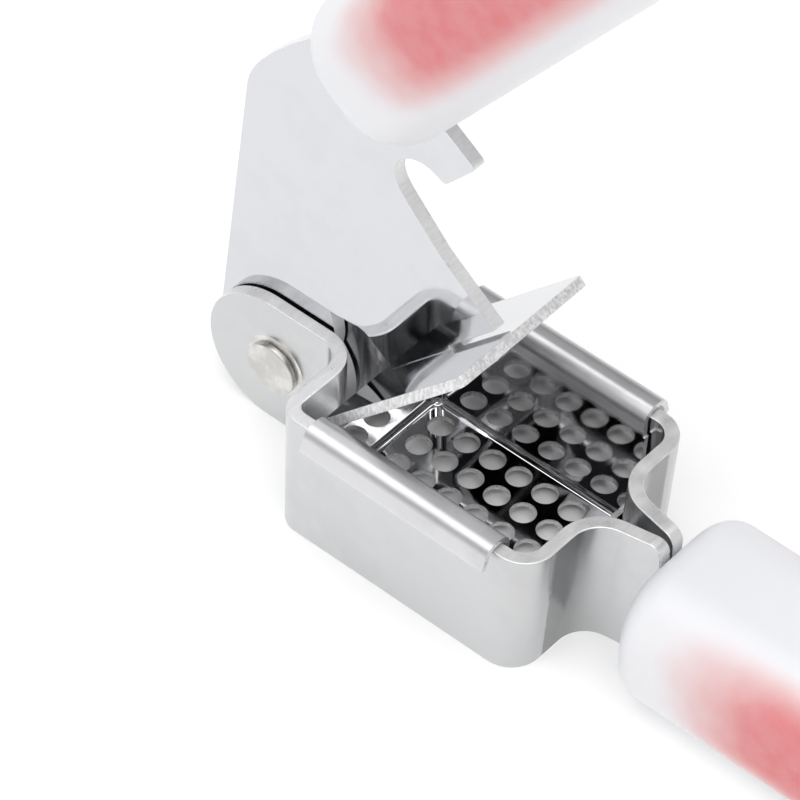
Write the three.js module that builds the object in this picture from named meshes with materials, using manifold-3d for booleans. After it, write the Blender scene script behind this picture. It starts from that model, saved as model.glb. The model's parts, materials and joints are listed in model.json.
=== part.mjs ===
// Garlic press: two bent steel side strips with a perforated strainer basket dropped between them,
// a flat lever plate that carries the presser and turns on a rivet, and two sleeved grips.
// Millimetres, +Z up. The side view is laid out around the hinge axis, with +X towards the grips.

import * as THREE from "three";
import { mergeVertices } from "three/addons/utils/BufferGeometryUtils.js";
import Module from "manifold-3d";

const wasm = await Module();
wasm.setup();

// ---------- driving dimensions ----------

const GAP = 0.3; // clearance between pieces that are laid against each other
const SEAM = 0.1; // fine seam between welded or butted pieces
const ARC_STEPS = 5; // half the segments of one corner arc

const STRIP = {
  thickness: 2,
  height: 20.6, // also twice the radius of the hinge ear
  earSetback: 1.2, // the ear's round is centred this far behind the rivet
  earPlane: 2.3, // distance of an ear's middle from the centre plane
  hingeWall: 12.3, // middle of the wall beside the hinge
  sidePlane: 15.2, // middle of the long wall, from the centre plane
  frontWall: 51.8,
  neckPlane: 3.1,
  tangPlane: 1.15,
  neckEnd: 62.2,
  neckRound: 1.8,
  tangEnd: 128,
  tangHeight: 10,
};

const BEND = { ear: 4.4, hingeCorner: 2.4, frontCorner: 3.6, neck: 5.4, tang: 20 };

const OPEN_ANGLE = THREE.MathUtils.degToRad(46.9); // lever angle as drawn, from the closed press
const EAR_RADIUS = STRIP.height / 2;

const RIVET = { shaft: 2.7, bore: 3.0, head: 4.0, headHeight: 1.3, headRound: 0.35 };

const BASKET = {
  sheet: 0.8,
  cornerRadius: 2.4,
  taper: 1.0, // how far each long wall leans in at its foot
  baseTop: -8.2, // level of the perforated floor
  wallTop: 7.3,
  flangeStart: 17.3,
  flangeEnd: 47.1,
  flangeRise: 0.9, // middle of the rolled top above the strips' rim
  lipReach: 1.2,
  lipFlare: 0.9,
  lipDrop: 3.0,
  rollRadius: 1.55,
  endTop: 1.2, // top of both end walls, which the lever plate passes over
  shoulder: 0.3, // how far the long walls run on past the flanges' ends
};

const HOLES = { alongX: 7, alongY: 5, pitch: 4.4, radius: 1.79, firstX: 18.0, sides: 14 };

const LEVER = {
  thickness: 2,
  boss: 10.1,
  backOffset: 11.6, // distance of the straight back edge from the hinge axis
  backSlope: THREE.MathUtils.degToRad(37.2),
  tangHeight: 10,
  tangLength: 66,
};

const PRESSER = {
  start: 16.7,
  end: 47.4,
  width: 23.7,
  thickness: 1.5,
  top: -5.95,
  cornerRadius: 0.9,
  tabStart: 23,
  tabEnd: 33,
};

const GRIP = {
  length: 106,
  width: 25,
  height: 21,
  noseRadius: 4.2,
  cornerRadius: 8.5,
  coreWidth: 18.4,
  coreHeight: 14.4,
  coreInset: 7, // from the nose of the sleeve to the start of the core
  coreRadius: 4,
  capLength: 11,
  capPlug: 6,
  pinRadius: 2,
  pinOffsets: [26, 52],
};

// Where each grip's nose stands from the hinge axis, and how its axis rises, with the press closed.
const LOWER_GRIP = { x: 62.4, z: (GRIP.height - STRIP.height) / 2, angle: 0 };
const UPPER_GRIP = { x: 55.6, z: 31.0, angle: THREE.MathUtils.degToRad(6) };

// ---------- materials ----------

const steel = (color, roughness) => new THREE.MeshStandardMaterial({ color, roughness, metalness: 1 });
const plastic = (color, roughness) => new THREE.MeshStandardMaterial({ color, roughness, metalness: 0 });
const FINISH = {
  strip: () => steel(0xdcdde0, 0.18),
  plate: () => steel(0xe2e3e6, 0.12),
  basket: () => steel(0xd4d5d8, 0.15),
  rivet: () => steel(0xc4c2be, 0.35),
  pin: () => steel(0xb8b8ba, 0.4),
  core: () => plastic(0xc8323a, 0.45),
  sleeve: () => plastic(0xf2f3f5, 0.4),
};

// ---------- solids ----------

function toSolid(geometry) {
  const bare = geometry.clone();
  bare.deleteAttribute("normal");
  bare.deleteAttribute("uv");
  const merged = mergeVertices(bare, 1e-4);
  return new wasm.Manifold(
    new wasm.Mesh({
      numProp: 3,
      vertProperties: new Float32Array(merged.attributes.position.array),
      triVerts: new Uint32Array(merged.index.array),
    }),
  );
}

function toGeometry(solid) {
  const mesh = solid.getMesh();
  const geometry = new THREE.BufferGeometry();
  geometry.setAttribute("position", new THREE.BufferAttribute(mesh.vertProperties, 3));
  geometry.setIndex(new THREE.BufferAttribute(mesh.triVerts, 1));
  geometry.computeVertexNormals();
  return geometry;
}

// Extrudes a plan outline (x, y) upwards between two levels.
function risePlan(shape, low, high) {
  const geometry = new THREE.ExtrudeGeometry(shape, {
    depth: high - low,
    bevelEnabled: false,
    curveSegments: ARC_STEPS,
  });
  geometry.translate(0, 0, low);
  return toSolid(geometry);
}

// Extrudes a side outline (x, z) across the press between two values of Y.
function crossSide(shape, near, far, curveSegments = ARC_STEPS) {
  const geometry = new THREE.ExtrudeGeometry(shape, {
    depth: far - near,
    bevelEnabled: false,
    curveSegments,
  });
  geometry.rotateX(Math.PI / 2);
  geometry.translate(0, far, 0);
  return toSolid(geometry);
}

// Extrudes an end outline (y, z) along the press between two values of X.
function runEnd(shape, start, end) {
  const geometry = new THREE.ExtrudeGeometry(shape, {
    depth: end - start,
    bevelEnabled: false,
    curveSegments: ARC_STEPS,
  });
  geometry.rotateX(Math.PI / 2);
  geometry.rotateZ(Math.PI / 2);
  geometry.translate(start, 0, 0);
  return toSolid(geometry);
}

function block(x0, x1, y0, y1, z0, z1) {
  const geometry = new THREE.BoxGeometry(x1 - x0, y1 - y0, z1 - z0);
  geometry.translate((x0 + x1) / 2, (y0 + y1) / 2, (z0 + z1) / 2);
  return toSolid(geometry);
}

// A round bar along Y, through (x, z).
function crossBar(x, z, radius, near, far, sides = 24) {
  const geometry = new THREE.CylinderGeometry(radius, radius, far - near, sides);
  geometry.translate(x, (near + far) / 2, z);
  return toSolid(geometry);
}

// A round bar along Z, through (x, y).
function uprightBar(x, y, radius, low, high, sides) {
  const geometry = new THREE.CylinderGeometry(radius, radius, high - low, sides);
  geometry.rotateX(Math.PI / 2);
  geometry.translate(x, y, (low + high) / 2);
  return toSolid(geometry);
}

function roundedRectangle(x0, x1, y0, y1, radius) {
  const shape = new THREE.Shape();
  shape.moveTo(x0 + radius, y0);
  shape.lineTo(x1 - radius, y0);
  shape.absarc(x1 - radius, y0 + radius, radius, -Math.PI / 2, 0, false);
  shape.lineTo(x1, y1 - radius);
  shape.absarc(x1 - radius, y1 - radius, radius, 0, Math.PI / 2, false);
  shape.lineTo(x0 + radius, y1);
  shape.absarc(x0 + radius, y1 - radius, radius, Math.PI / 2, Math.PI, false);
  shape.lineTo(x0, y0 + radius);
  shape.absarc(x0 + radius, y0 + radius, radius, Math.PI, 1.5 * Math.PI, false);
  return shape;
}

// The outline of a sheet of even thickness bent along a path of [x, y, bend radius] corners.
function bentSheet(path, thickness) {
  const points = path.map(([x, y]) => new THREE.Vector2(x, y));
  const along = points.slice(1).map((point, i) => point.clone().sub(points[i]).normalize());
  const side = (dir) => new THREE.Vector2(-dir.y, dir.x);
  const half = thickness / 2;
  const corners = along.slice(1).map((dir, i) => {
    const before = along[i];
    const turn = Math.sign(before.cross(dir));
    const radius = path[i + 1][2];
    const setback = radius * Math.tan(Math.acos(THREE.MathUtils.clamp(before.dot(dir), -1, 1)) / 2);
    const centre = points[i + 1].clone().addScaledVector(before, -setback);
    centre.addScaledVector(side(before), turn * radius);
    const startAngle = side(before).multiplyScalar(-turn).angle();
    const endAngle = side(dir).multiplyScalar(-turn).angle();
    return { centre, radius, turn, startAngle, endAngle };
  });
  const last = points.length - 1;
  const shape = new THREE.Shape();
  const start = points[0].clone().addScaledVector(side(along[0]), half);
  shape.moveTo(start.x, start.y);
  for (const { centre, radius, turn, startAngle, endAngle } of corners) {
    shape.absarc(centre.x, centre.y, radius - turn * half, startAngle, endAngle, turn < 0);
  }
  const end = side(along[last - 1]);
  shape.lineTo(points[last].x + end.x * half, points[last].y + end.y * half);
  shape.lineTo(points[last].x - end.x * half, points[last].y - end.y * half);
  for (const { centre, radius, turn, startAngle, endAngle } of corners.reverse()) {
    shape.absarc(centre.x, centre.y, radius + turn * half, endAngle, startAngle, turn > 0);
  }
  const first = points[0].clone().addScaledVector(side(along[0]), -half);
  shape.lineTo(first.x, first.y);
  return shape;
}

// ---------- side strips ----------

// Outline of a strip seen from the side: round ear, straight rims, rounded neck and narrow tang.
function stripSideOutline() {
  const top = STRIP.height / 2;
  const tang = STRIP.tangHeight / 2;
  const round = STRIP.neckRound;
  const shape = new THREE.Shape();
  shape.moveTo(0, -top);
  shape.lineTo(STRIP.neckEnd - round, -top);
  shape.absarc(STRIP.neckEnd - round, -top + round, round, -Math.PI / 2, 0, false);
  shape.lineTo(STRIP.neckEnd, -tang);
  shape.lineTo(STRIP.tangEnd, -tang);
  shape.lineTo(STRIP.tangEnd, tang);
  shape.lineTo(STRIP.neckEnd, tang);
  shape.lineTo(STRIP.neckEnd, top - round);
  shape.absarc(STRIP.neckEnd - round, top - round, round, 0, Math.PI / 2, false);
  shape.lineTo(0, top);
  shape.absarc(-STRIP.earSetback, 0, top, Math.PI / 2, 1.5 * Math.PI, false);
  return shape;
}

// side is -1 for the near strip and +1 for the far one.
function sideStrip(side) {
  const path = [
    [-2 * EAR_RADIUS, side * STRIP.earPlane],
    [STRIP.hingeWall, side * STRIP.earPlane, BEND.ear],
    [STRIP.hingeWall, side * STRIP.sidePlane, BEND.hingeCorner],
    [STRIP.frontWall, side * STRIP.sidePlane, BEND.frontCorner],
    [STRIP.frontWall, side * STRIP.neckPlane, BEND.neck],
    [STRIP.neckEnd, side * STRIP.tangPlane, BEND.tang],
    [STRIP.tangEnd + 1, side * STRIP.tangPlane],
  ];
  const bent = risePlan(bentSheet(path, STRIP.thickness), -EAR_RADIUS - 1, EAR_RADIUS + 1);
  const outline = crossSide(stripSideOutline(), -2 * STRIP.sidePlane, 2 * STRIP.sidePlane, 12);
  let strip = bent.intersect(outline);
  strip = strip.subtract(crossBar(0, 0, RIVET.bore, side * 5 - 4, side * 5 + 4));
  for (const x of pinPlaces(LOWER_GRIP)) {
    strip = strip.subtract(crossBar(x, 0, GRIP.pinRadius + GAP, -5, 5, 16));
  }
  return strip;
}

// ---------- hinge rivet ----------

// A solid rivet with a proud round head on each side, turned about the hinge axis.
function hingeRivet() {
  const face = STRIP.earPlane + STRIP.thickness / 2 + GAP / 2;
  const end = face + RIVET.headHeight;
  const round = RIVET.headRound;
  const profile = [
    [0, -end],
    [RIVET.head - round, -end],
    [RIVET.head, -end + round],
    [RIVET.head, -face],
    [RIVET.shaft, -face],
    [RIVET.shaft, face],
    [RIVET.head, face],
    [RIVET.head, end - round],
    [RIVET.head - round, end],
    [0, end],
  ];
  return toSolid(new THREE.LatheGeometry(profile.map(([r, y]) => new THREE.Vector2(r, y)), 24));
}

// ---------- strainer basket ----------

const innerSide = STRIP.sidePlane - STRIP.thickness / 2;
const basketX = [
  STRIP.hingeWall + STRIP.thickness / 2 + GAP,
  STRIP.frontWall - STRIP.thickness / 2 - GAP,
];
const basketY = innerSide - GAP;

function strainerBasket() {
  const { sheet, cornerRadius, baseTop, wallTop } = BASKET;
  const outer = roundedRectangle(basketX[0], basketX[1], -basketY, basketY, cornerRadius);
  const inner = roundedRectangle(
    basketX[0] + sheet,
    basketX[1] - sheet,
    -basketY + sheet,
    basketY - sheet,
    cornerRadius - sheet,
  );
  let basket = risePlan(outer, baseTop - sheet, wallTop).subtract(risePlan(inner, baseTop, wallTop + 1));
  basket = basket.warp((vertex) => {
    const depth = Math.min(1, (wallTop - vertex[2]) / (wallTop - baseTop));
    vertex[1] *= 1 - (BASKET.taper * depth) / basketY;
  });
  const ends = [
    [basketX[0] - 1, BASKET.flangeStart - BASKET.shoulder],
    [BASKET.flangeEnd + BASKET.shoulder, basketX[1] + 1],
  ];
  for (const [from, to] of ends) {
    const above = block(from, to, -basketY - 1, basketY + 1, BASKET.endTop, wallTop + 1);
    basket = basket.subtract(above);
  }
  for (const side of [-1, 1]) {
    basket = basket.add(runEnd(flangeOutline(side), BASKET.flangeStart, BASKET.flangeEnd));
  }
  for (let i = 0; i < HOLES.alongX; i += 1) {
    for (let j = 0; j < HOLES.alongY; j += 1) {
      const x = HOLES.firstX + i * HOLES.pitch;
      const y = (j - (HOLES.alongY - 1) / 2) * HOLES.pitch;
      basket = basket.subtract(uprightBar(x, y, HOLES.radius, baseTop - 2, baseTop + 1, HOLES.sides));
    }
  }
  return basket;
}

// End outline of the rolled flange: up the wall, over the strip's rim and down outside it.
function flangeOutline(side) {
  const wall = basketY - BASKET.sheet / 2;
  const crest = EAR_RADIUS + BASKET.flangeRise;
  const outside = STRIP.sidePlane + STRIP.thickness / 2 + BASKET.lipReach - BASKET.sheet / 2;
  const path = [
    [side * wall, BASKET.wallTop - 1],
    [side * wall, crest, BASKET.rollRadius],
    [side * outside, crest, BASKET.rollRadius],
    [side * (outside + BASKET.lipFlare), crest - BASKET.lipDrop],
  ];
  return bentSheet(path, BASKET.sheet);
}

// ---------- lever plate and presser ----------

// Side outline of the lever plate with the press closed.
function leverOutline() {
  const { boss, backOffset, backSlope } = LEVER;
  const grip = UPPER_GRIP;
  // A point of the grip's own axes: u along it, v above it.
  const inGrip = (u, v) => [
    grip.x + u * Math.cos(grip.angle) - v * Math.sin(grip.angle),
    grip.z + u * Math.sin(grip.angle) + v * Math.cos(grip.angle),
  ];
  // A point of the back edge, so far along it from the hinge.
  const onBack = (along) => [
    along * Math.cos(backSlope) - backOffset * Math.sin(backSlope),
    along * Math.sin(backSlope) + backOffset * Math.cos(backSlope),
  ];
  const tang = LEVER.tangHeight / 2;
  const contact = PRESSER.top + SEAM;
  const relief = contact + 0.5; // the edge stands clear of the presser in front of its tab
  const tabFoot = PRESSER.top - PRESSER.thickness;
  const shape = new THREE.Shape();
  shape.absarc(0, 0, boss, backSlope + 0.8 * Math.PI, 2 * Math.PI - 0.12, false);
  shape.quadraticCurveTo(12.6, 0.2, 14.3, 3.8);
  shape.lineTo(17.4, 1.3);
  shape.quadraticCurveTo(18.6, 0.3, 18.8, -1.2);
  shape.lineTo(19.4, contact);
  shape.lineTo(PRESSER.tabStart, contact);
  shape.lineTo(PRESSER.tabStart, tabFoot);
  shape.lineTo(PRESSER.tabEnd, tabFoot);
  shape.lineTo(PRESSER.tabEnd, relief);
  shape.lineTo(43.4, relief);
  shape.lineTo(42.3, 5.7);
  shape.lineTo(42.7, 14.4);
  shape.bezierCurveTo(42.8, 17.2, 44.2, 19.0, 46.6, 19.0);
  shape.bezierCurveTo(49.2, 19.0, 50.8, 17.2, 51.2, 15.0);
  shape.quadraticCurveTo(51.4, 14.2, 52.2, 14.2);
  shape.lineTo(57.8, 14.5);
  shape.quadraticCurveTo(58.6, 14.5, 58.5, 15.4);
  shape.lineTo(...inGrip(1, -tang - 5));
  shape.lineTo(...inGrip(3, -tang));
  shape.lineTo(...inGrip(LEVER.tangLength, -tang));
  shape.lineTo(...inGrip(LEVER.tangLength, tang));
  shape.lineTo(...inGrip(1, tang));
  shape.bezierCurveTo(...inGrip(-6, tang + 1), ...onBack(50), ...onBack(43));
  shape.lineTo(...onBack(-1));
  shape.closePath();
  return shape;
}

function leverPlate() {
  const half = LEVER.thickness / 2;
  let plate = crossSide(leverOutline(), -half, half, 8);
  plate = plate.subtract(crossBar(0, 0, RIVET.bore, -5, 5));
  for (const [x, z] of pinCentres(UPPER_GRIP)) {
    plate = plate.subtract(crossBar(x, z, GRIP.pinRadius + GAP, -5, 5, 16));
  }
  return plate;
}

function presserPlate() {
  const half = PRESSER.width / 2;
  const outline = roundedRectangle(PRESSER.start, PRESSER.end, -half, half, PRESSER.cornerRadius);
  const plate = risePlan(outline, PRESSER.top - PRESSER.thickness, PRESSER.top);
  const slotHalf = LEVER.thickness / 2 + SEAM;
  const slot = block(
    PRESSER.tabStart - SEAM,
    PRESSER.tabEnd + SEAM,
    -slotHalf,
    slotHalf,
    PRESSER.top - 2 * PRESSER.thickness,
    PRESSER.top + 1,
  );
  return plate.subtract(slot);
}

// ---------- grips ----------

// Every grip piece is drawn along +X from the nose of its sleeve, then laid on its own tang.
const pinPlaces = (grip) => GRIP.pinOffsets.map((u) => grip.x + u);

// The lower tangs run on the hinge's level, a little under the middle of their grip.
const pinLevel = (grip) => (grip === LOWER_GRIP ? -grip.z : 0);

function pinCentres(grip) {
  return GRIP.pinOffsets.map((u) => [
    grip.x + u * Math.cos(grip.angle),
    grip.z + u * Math.sin(grip.angle),
  ]);
}

// A bar of rounded section whose two ends are domed over by the same radius.
function domedBar() {
  const round = GRIP.noseRadius;
  const half = { z: GRIP.height / 2 - round, y: GRIP.width / 2 - round };
  const section = roundedRectangle(-half.z, half.z, -half.y, half.y, GRIP.cornerRadius - round);
  const geometry = new THREE.ExtrudeGeometry(section, {
    depth: GRIP.length - 2 * round,
    bevelEnabled: true,
    bevelThickness: round,
    bevelSize: round,
    bevelSegments: 6,
    curveSegments: 3,
  });
  geometry.rotateY(Math.PI / 2);
  geometry.translate(round, 0, 0);
  return toSolid(geometry);
}

function coreSection(margin) {
  const y = GRIP.coreWidth / 2 + margin;
  const z = GRIP.coreHeight / 2 + margin;
  return roundedRectangle(-y, y, -z, z, GRIP.coreRadius + margin);
}

const capStart = GRIP.length - GRIP.capLength;
const coreEnd = capStart - GRIP.capPlug - GAP;

// The room that a grip leaves for its steel: a wide mouth in the nose and a slot for the tang.
function steelRoom(grip) {
  const isLower = grip === LOWER_GRIP;
  const steelHalf = isLower ? STRIP.tangPlane + STRIP.thickness / 2 + SEAM : LEVER.thickness / 2;
  const side = steelHalf + GAP;
  const tangEnd = isLower ? STRIP.tangEnd - grip.x : LEVER.tangLength;
  const tangHalf = STRIP.tangHeight / 2 + GAP;
  const mouthEnd = isLower ? STRIP.neckEnd - grip.x : 3;
  const mouthTop = isLower ? GRIP.height : tangHalf;
  const slot = block(-1, tangEnd + GAP, -side, side, -grip.z - tangHalf, -grip.z + tangHalf);
  const levelSlot = isLower ? slot : block(-1, tangEnd + GAP, -side, side, -tangHalf, tangHalf);
  return levelSlot.add(block(-10, mouthEnd + GAP, -side, side, -GRIP.height, mouthTop));
}

function gripSleeve(grip) {
  const hollow = runEnd(coreSection(GAP), GRIP.coreInset - GAP, GRIP.length + 1);
  const behind = block(capStart, GRIP.length + 1, -20, 20, -20, 20);
  return domedBar().subtract(hollow).subtract(behind).subtract(steelRoom(grip));
}

// side is -1 for the near half and +1 for the far half.
function gripCore(grip, side) {
  const whole = runEnd(coreSection(0), GRIP.coreInset, coreEnd);
  const [near, far] = side < 0 ? [-20, -SEAM / 2] : [SEAM / 2, 20];
  let half = whole.intersect(block(0, GRIP.length, near, far, -20, 20)).subtract(steelRoom(grip));
  for (const u of GRIP.pinOffsets) {
    half = half.subtract(crossBar(u, pinLevel(grip), GRIP.pinRadius + GAP, -20, 20, 16));
  }
  return half;
}

function gripPin(grip, u) {
  const half = GRIP.coreWidth / 2 - GAP;
  return crossBar(u, pinLevel(grip), GRIP.pinRadius, -half, half, 16);
}

function gripCap() {
  const behind = block(capStart + SEAM, GRIP.length + 1, -20, 20, -20, 20);
  const plug = runEnd(coreSection(0), capStart - GRIP.capPlug, capStart + 1);
  return domedBar().intersect(behind).add(plug);
}

// ---------- assembly ----------

function piece(name, solid, finish) {
  const mesh = new THREE.Mesh(toGeometry(solid), finish());
  mesh.name = name;
  return mesh;
}

function gripGroup(prefix, grip) {
  const group = new THREE.Group();
  group.position.set(grip.x, 0, grip.z);
  group.rotation.y = -grip.angle;
  group.add(
    piece(`${prefix}_grip_sleeve`, gripSleeve(grip), FINISH.sleeve),
    piece(`${prefix}_core_near`, gripCore(grip, -1), FINISH.core),
    piece(`${prefix}_core_far`, gripCore(grip, 1), FINISH.core),
    piece(`${prefix}_front_pin`, gripPin(grip, GRIP.pinOffsets[0]), FINISH.pin),
    piece(`${prefix}_rear_pin`, gripPin(grip, GRIP.pinOffsets[1]), FINISH.pin),
    piece(`${prefix}_end_cap`, gripCap(), FINISH.sleeve),
  );
  return group;
}

const frame = new THREE.Group();
frame.add(
  piece("near_side_strip", sideStrip(-1), FINISH.strip),
  piece("far_side_strip", sideStrip(1), FINISH.strip),
  piece("hinge_rivet", hingeRivet(), FINISH.rivet),
  piece("strainer_basket", strainerBasket(), FINISH.basket),
  gripGroup("lower", LOWER_GRIP),
);

const lever = new THREE.Group();
lever.rotation.y = -OPEN_ANGLE;
lever.add(
  piece("lever_plate", leverPlate(), FINISH.plate),
  piece("presser_plate", presserPlate(), FINISH.plate),
  gripGroup("upper", UPPER_GRIP),
);

// The origin is the bottom centre of the whole press, so the hinge axis stands off it.
const press = new THREE.Group();
press.add(frame, lever);
const backEnd = -EAR_RADIUS - STRIP.earSetback;
const frontEnd = LOWER_GRIP.x + GRIP.length;
press.position.set(-(backEnd + frontEnd) / 2, 0, EAR_RADIUS);
press.updateMatrixWorld(true);

export default press;
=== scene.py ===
"""Looks of a garlic press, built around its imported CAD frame.

Two bent steel side strips carry a dropped-in strainer basket. A flat lever plate turns on a
rivet between them and drives a presser plate. Both ends run into milky, red-cored grips.
"""

import json
import logging
import math
from contextlib import contextmanager
from dataclasses import dataclass
from enum import Enum
from typing import Callable, Iterator, Sequence

import bmesh
import bpy
from mathutils import Matrix, Vector


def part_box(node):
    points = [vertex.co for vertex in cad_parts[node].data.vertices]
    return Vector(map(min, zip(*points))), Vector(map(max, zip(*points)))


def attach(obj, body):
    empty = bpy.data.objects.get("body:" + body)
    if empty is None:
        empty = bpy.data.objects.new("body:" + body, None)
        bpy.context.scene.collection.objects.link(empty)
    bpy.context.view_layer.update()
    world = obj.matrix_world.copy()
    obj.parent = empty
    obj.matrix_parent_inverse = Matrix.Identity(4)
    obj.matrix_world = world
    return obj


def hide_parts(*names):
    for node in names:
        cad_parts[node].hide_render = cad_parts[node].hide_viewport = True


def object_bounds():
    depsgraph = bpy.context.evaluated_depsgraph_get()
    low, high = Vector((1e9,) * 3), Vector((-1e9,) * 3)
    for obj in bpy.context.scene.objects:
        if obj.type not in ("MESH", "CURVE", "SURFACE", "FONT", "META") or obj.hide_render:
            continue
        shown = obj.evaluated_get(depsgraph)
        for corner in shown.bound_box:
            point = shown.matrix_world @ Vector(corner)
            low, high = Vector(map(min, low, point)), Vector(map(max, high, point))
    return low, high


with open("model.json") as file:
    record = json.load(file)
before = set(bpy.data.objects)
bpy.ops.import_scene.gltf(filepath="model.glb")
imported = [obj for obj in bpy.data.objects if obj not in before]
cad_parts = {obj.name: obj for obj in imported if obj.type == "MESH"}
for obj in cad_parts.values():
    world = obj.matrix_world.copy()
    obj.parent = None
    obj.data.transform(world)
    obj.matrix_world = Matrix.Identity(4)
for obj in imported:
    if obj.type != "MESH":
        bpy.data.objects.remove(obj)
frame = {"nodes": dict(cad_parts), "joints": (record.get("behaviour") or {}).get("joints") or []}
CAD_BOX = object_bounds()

LOG = logging.getLogger("garlic_press")
MM = 0.001
BORE_LENGTH = 8.0  # longer than any sheet is thick, in millimetres
CLOSE = 1e-6  # metres within which two places are the same
FLOOR_GAP = 0.00005  # metres between the press and the floor
PAINTED_SHADOW_INSET = 0.002  # metres that the floor's painted shadow stays inside the basket's sides

Point = tuple[float, float]
Run = tuple[int | Point, ...]
Colour = tuple[float, float, float]
Socket = bpy.types.NodeSocket
Piece = bpy.types.Object
Finish = bpy.types.Material


# ---------- modelling moves ----------


class Part(Enum):
    """What a selection picks out of a mesh."""

    EDGE = "EDGE"
    FACE = "FACE"


class Join(Enum):
    """How a cutter acts on a piece."""

    KEEP_COMMON = "INTERSECT"
    CUT_AWAY = "DIFFERENCE"
    ADD = "UNION"


def alone(piece: Piece) -> None:
    """Selects one piece and nothing else, and makes it the active one."""
    bpy.ops.object.select_all(action="DESELECT")
    piece.select_set(True)
    bpy.context.view_layer.objects.active = piece


@contextmanager
def editing(piece: Piece) -> Iterator[None]:
    """Opens a piece in edit mode with nothing selected, and closes it again."""
    alone(piece)
    bpy.ops.object.mode_set(mode="EDIT")
    bpy.ops.mesh.select_mode(type="VERT")
    bpy.ops.mesh.select_all(action="DESELECT")
    yield
    bpy.ops.object.mode_set(mode="OBJECT")


def pick(piece: Piece, part: Part, wanted: Callable[[Vector, Vector], bool]) -> None:
    """Selects parts of a piece in edit mode by their place and direction.

    Args:
        piece: The piece being edited.
        part: Whether edges or faces are picked.
        wanted: Gets a face's middle and normal, or an edge's middle and direction.
    """
    bpy.ops.mesh.select_mode(type=part.value)
    bpy.ops.mesh.select_all(action="DESELECT")
    mesh = bmesh.from_edit_mesh(piece.data)
    if part is Part.EDGE:
        rows = [
            (e, (e.verts[0].co + e.verts[1].co) / 2, (e.verts[1].co - e.verts[0].co).normalized())
            for e in mesh.edges
        ]
    else:
        rows = [(f, f.calc_center_median(), f.normal) for f in mesh.faces]
    for element, middle, direction in rows:
        if wanted(middle, direction):
            element.select_set(True)
    bmesh.update_edit_mesh(piece.data)


def settle(piece: Piece) -> Piece:
    """Puts a piece's place, turn and scale into its mesh."""
    alone(piece)
    bpy.ops.object.transform_apply(location=True, rotation=True, scale=True)
    return piece


def added(name: str) -> Piece:
    """Names the primitive that was just added, and settles it."""
    piece = bpy.context.object
    piece.name = piece.data.name = name
    return settle(piece)


def select_everything() -> None:
    """Selects the whole mesh that is being edited."""
    bpy.ops.mesh.select_all(action="SELECT")


def pull(step: Sequence[float]) -> None:
    """Extrudes what is selected by a step in metres."""
    bpy.ops.mesh.extrude_region_move(TRANSFORM_OT_translate={"value": tuple(step)})


def block(name: str, low: Sequence[float], high: Sequence[float]) -> Piece:
    """Adds a cube that fills the box between two corners, in millimetres from the hinge axis."""
    middle = [(a + b) / 2 * MM for a, b in zip(low, high)]
    bpy.ops.mesh.primitive_cube_add(size=1, location=middle)
    bpy.context.object.scale = [(b - a) * MM for a, b in zip(low, high)]
    return added(name)


def bar(
    name: str, middle: Sequence[float], radius: float, length: float, upright: bool, sides: int = 48
) -> Piece:
    """Adds a round bar, upright along Z or lying across the press along Y, in millimetres."""
    bpy.ops.mesh.primitive_cylinder_add(
        vertices=sides,
        radius=radius * MM,
        depth=length * MM,
        location=[c * MM for c in middle],
        rotation=(0, 0, 0) if upright else (math.pi / 2, 0, 0),
    )
    return added(name)


def traced(name: str, outline: Sequence[Point], near: float, far: float) -> Piece:
    """Draws a side outline of X and Z point by point, fills it and pulls it from near to far Y."""
    last_x, last_z = outline[0]
    bpy.ops.mesh.primitive_plane_add(size=MM, location=(last_x * MM, near * MM, last_z * MM))
    piece = added(name)
    with editing(piece):
        select_everything()
        bpy.ops.mesh.merge(type="CENTER")
        select_everything()
        for x, z in outline[1:]:
            step = ((x - last_x) * MM, 0, (z - last_z) * MM)
            bpy.ops.mesh.extrude_vertices_move(TRANSFORM_OT_translate={"value": step})
            last_x, last_z = x, z
        select_everything()
        bpy.ops.mesh.edge_face_add()
        pull((0, (far - near) * MM, 0))
        select_everything()
        bpy.ops.mesh.normals_make_consistent(inside=False)
    return piece


def apply_modifier(piece: Piece, kind: str, **values: object) -> None:
    """Adds a modifier of this kind with these values, and applies it."""
    alone(piece)
    modifier = piece.modifiers.new(kind.title(), kind)
    for key, value in values.items():
        setattr(modifier, key, value)
    bpy.ops.object.modifier_apply(modifier=modifier.name)


def join(piece: Piece, cutter: Piece, how: Join) -> Piece:
    """Cuts or joins a piece with another, whose finish goes on the faces that it makes."""
    values = {"operation": how.value, "object": cutter, "solver": "EXACT"}
    apply_modifier(piece, "BOOLEAN", material_mode="TRANSFER", **values)
    bpy.data.objects.remove(cutter)
    return piece


def cut_box(
    piece: Piece, low: Sequence[float], high: Sequence[float], finish: Finish | None = None
) -> Piece:
    """Cuts a box out of a piece, with its own finish on the cut faces where one is given."""
    cutter = block("cutter", low, high)
    if finish is not None:
        dress(cutter, finish)
    return join(piece, cutter, Join.CUT_AWAY)


def drill(
    piece: Piece, middle: Sequence[float], radius: float, finish: Finish, sides: int = 48
) -> None:
    """Bores a round hole across the press, with its own finish on the wall."""
    bore = bar("bore", middle, radius, BORE_LENGTH, upright=False, sides=sides)
    dress(bore, finish)
    join(piece, bore, Join.CUT_AWAY)


def soften(piece: Piece, width: float, segments: int = 2, angle: float = 50.0) -> None:
    """Rounds the edges that turn by more than an angle, and shades the piece smooth."""
    values = {"width": width * MM, "segments": segments, "angle_limit": math.radians(angle)}
    apply_modifier(piece, "BEVEL", limit_method="ANGLE", **values)
    smooth(piece)


def smooth(piece: Piece, angle: float = 35.0) -> None:
    """Shades a piece smooth up to an angle, with its flat faces kept flat."""
    alone(piece)
    bpy.ops.object.shade_smooth_by_angle(angle=math.radians(angle))
    apply_modifier(piece, "WEIGHTED_NORMAL", keep_sharp=True, weight=80)


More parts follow.
